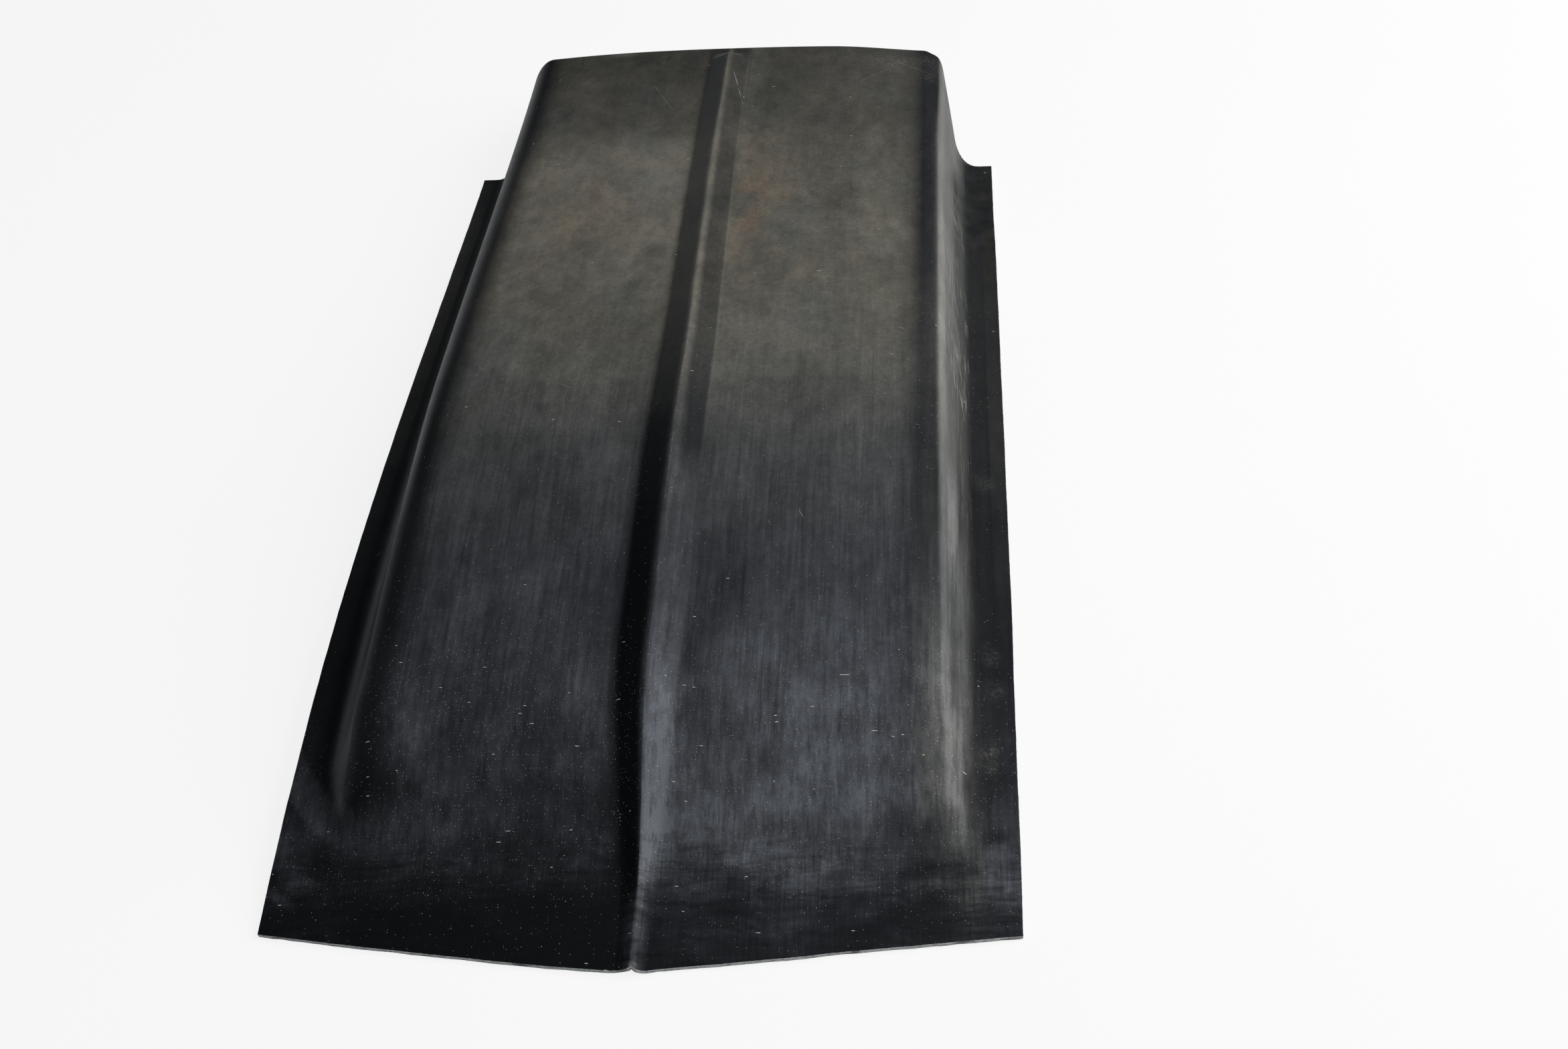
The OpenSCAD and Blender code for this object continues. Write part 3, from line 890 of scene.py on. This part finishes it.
    def build(self):
        dust_and_light_amount, rub = self.dust_and_light_amount(), self.rubbed()
        colour = self.mix(self.math("MULTIPLY", dust_and_light_amount, 1.0, clamp=True), GEL_BLACK, self.dust())
        colour = self.mix(self.pale_dots(), colour, SPECK)
        colour = self.mix(self.scratched(), colour, SCRATCH)
        colour = self.mix(self.product(rub, 0.6), colour, RUBBED)
        return self.surface(colour, self.roughness(dust_and_light_amount, rub), self.relief())


# Turns of the laminate's layers of chopped strands, in radians
STRAND_TURNS = (0.3, 1.15, 2.1, 2.75)


def raw_laminate():
    """Chopped strands in dark resin, as the mould's open side leaves them"""
    m = Nodes(bpy.data.materials.new("raw_laminate"), "Material")
    place = m.add("TexCoord").outputs["Object"]
    waves = m.add("TexNoise", {"Vector": place, "Scale": 18.0}).outputs["Color"]
    small_waves = m.add("VectorMath", {0: waves, "Scale": 0.02}, operation="SCALE")
    warp = m.add("VectorMath", {0: place, 1: small_waves}, operation="ADD")
    strands = None
    for turn in STRAND_TURNS:
        layer = m.long_noise(warp, (900, 26, 60), 3, 0.6, (0, 0, turn))
        strands = layer if strands is None else m.math("MAXIMUM", strands, layer)
    resin = m.noise(place, 22, 5, 0.6)
    colour = m.mix(m.remap(strands, 0.56, 0.74), (0.020, 0.021, 0.020, 1), (0.085, 0.086, 0.078, 1))
    colour = m.mix(m.remap(resin, 0.4, 0.75, 0, 0.6), colour, (0.038, 0.040, 0.036, 1))
    rough = m.remap(resin, 0.3, 0.7, 0.34, 0.6)
    relief = m.bump(0.5, 0.002, resin, m.bump(0.6, 0.0009, strands))
    return m.surface(colour, rough, relief)


def cut_laminate():
    """Sawn edge: pale broken glass between dark resin"""
    m = Nodes(bpy.data.materials.new("cut_laminate"), "Material")
    place = m.add("TexCoord").outputs["Object"]
    ends = m.long_noise(place, (260, 260, 900), 4, 0.7)
    patch = m.noise(place, 38, 3, 0.6)
    colour = m.mix(m.remap(ends, 0.3, 0.6), (0.20, 0.21, 0.215, 1), (0.72, 0.74, 0.74, 1))
    colour = m.mix(m.remap(patch, 0.52, 0.7, 0, 0.75), colour, (0.05, 0.051, 0.053, 1))
    relief = m.bump(0.8, 0.0006, ends)
    return m.surface(colour, 0.78, relief)


for material in (GelCoat().build(), raw_laminate(), cut_laminate()):
    shell_mesh.materials.append(material)
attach(shell, "root")
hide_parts("scoop_shell")

FLOOR_HALF_W, FLOOR_DROP, FLOOR_WHITE_SHARE = 14.0, 0.0004, 0.86


def make_floor():
    """Pale, and nearly white to the camera apart from the object's shadow"""
    r = FLOOR_HALF_W
    mesh = bpy.data.meshes.new("floor")
    mesh.from_pydata([(-r, -r, 0), (r, -r, 0), (r, r, 0), (-r, r, 0)], [], [(0, 1, 2, 3)])
    floor = bpy.data.objects.new("floor", mesh)
    floor.location.z = -FLOOR_DROP
    scene.collection.objects.link(floor)
    m = Nodes(bpy.data.materials.new("pale_floor"), "Material")
    grain = m.noise(m.add("TexCoord").outputs["Object"], 3, 3)
    diffuse = m.add("BsdfDiffuse", {"Color": m.mix(grain, (0.74, 0.74, 0.74, 1), (0.78, 0.78, 0.78, 1))})
    white = m.add("Emission", {"Color": (1, 1, 1, 1), "Strength": 1.0})
    white_share = m.math("MULTIPLY", m.add("LightPath").outputs["Is Camera Ray"], FLOOR_WHITE_SHARE)
    mesh.materials.append(m.finish(m.add("MixShader", {0: white_share, 1: diffuse, 2: white})))


make_floor()


def softbox(name, place, target, width, height, power, colour):
    data = bpy.data.lights.new(name, "AREA")
    data.shape = "RECTANGLE"
    data.size, data.size_y = width, height
    data.energy = power
    data.color = colour
    lamp = bpy.data.objects.new(name, data)
    lamp.location = place
    lamp.rotation_euler = (Vector(target) - Vector(place)).to_track_quat("-Z", "Y").to_euler()
    # It lights the black skin's dust only: what shines in the gloss is the room and the floor
    lamp.visible_glossy = False
    scene.collection.objects.link(lamp)


softbox("key_right", (2.6, 0.2, 2.1), (0, -0.1, 0.05), 3.4, 2.8, 150, (1.0, 0.985, 0.96))


def make_world():
    """White to the camera; for light, a room that is dark on the left but for a glow low down there"""
    m = Nodes(bpy.data.worlds.new("studio"), "World")
    scene.world = m.owner
    xyz = m.add("SeparateXYZ", {0: m.add("TexCoord").outputs["Generated"]})
    x, z = xyz.outputs[0], xyz.outputs[2]
    upper = m.product(m.remap(x, -0.3, 0.15, 0.03, 0.3), m.remap(z, 0.12, 0.8, 0.12, 1.0))
    low_left = m.product(m.remap(x, -0.3, 0.1, 0.5, 0.06), m.remap(z, 0.0, 0.24, 1.0, 0.0))
    room = m.add("Background", {0: (0.85, 0.92, 1.0, 1), 1: m.math("ADD", upper, low_left)})
    white = m.add("Background", {0: (1, 1, 1, 1), 1: 1.0})
    m.finish(m.add("MixShader", {0: m.add("LightPath").outputs["Is Camera Ray"], 1: room, 2: white}))


make_world()
scene.view_settings.view_transform = "Standard"

# The photograph's camera, found from the outline: its angles, its place and its focal length
YAW, TILT, ROLL = 0.10579, 0.70143, -0.08323
CAMERA_PLACE = (0.262649, -1.724262, 1.356717)
FOCAL_PX, PHOTO_W_PX, SENSOR_W = 3200, 2343, 36.0


def make_camera():
    cy, sy, ct, st, cr, sr = (f(angle) for angle in (YAW, TILT, ROLL) for f in (math.cos, math.sin))
    turn = np.array([[cy, sy, 0], [-sy, cy, 0], [0, 0, 1]])
    look = np.array([[1, 0, 0], [0, -st, -ct], [0, ct, -st]])
    bank = np.array([[cr, -sr, 0], [sr, cr, 0], [0, 0, 1]])
    right_row, down_row, forward_row = bank @ look @ turn
    data = bpy.data.cameras.new("photo_camera")
    data.sensor_width = SENSOR_W
    data.sensor_fit = "HORIZONTAL"
    data.lens = FOCAL_PX / PHOTO_W_PX * SENSOR_W
    data.clip_end = 60
    camera = bpy.data.objects.new("photo_camera", data)
    turned = Matrix([list(v) for v in np.stack([right_row, -down_row, -forward_row], 1)])
    camera.matrix_world = Matrix.Translation(CAMERA_PLACE) @ turned.to_4x4()
    scene.collection.objects.link(camera)
    scene.camera = camera


make_camera()
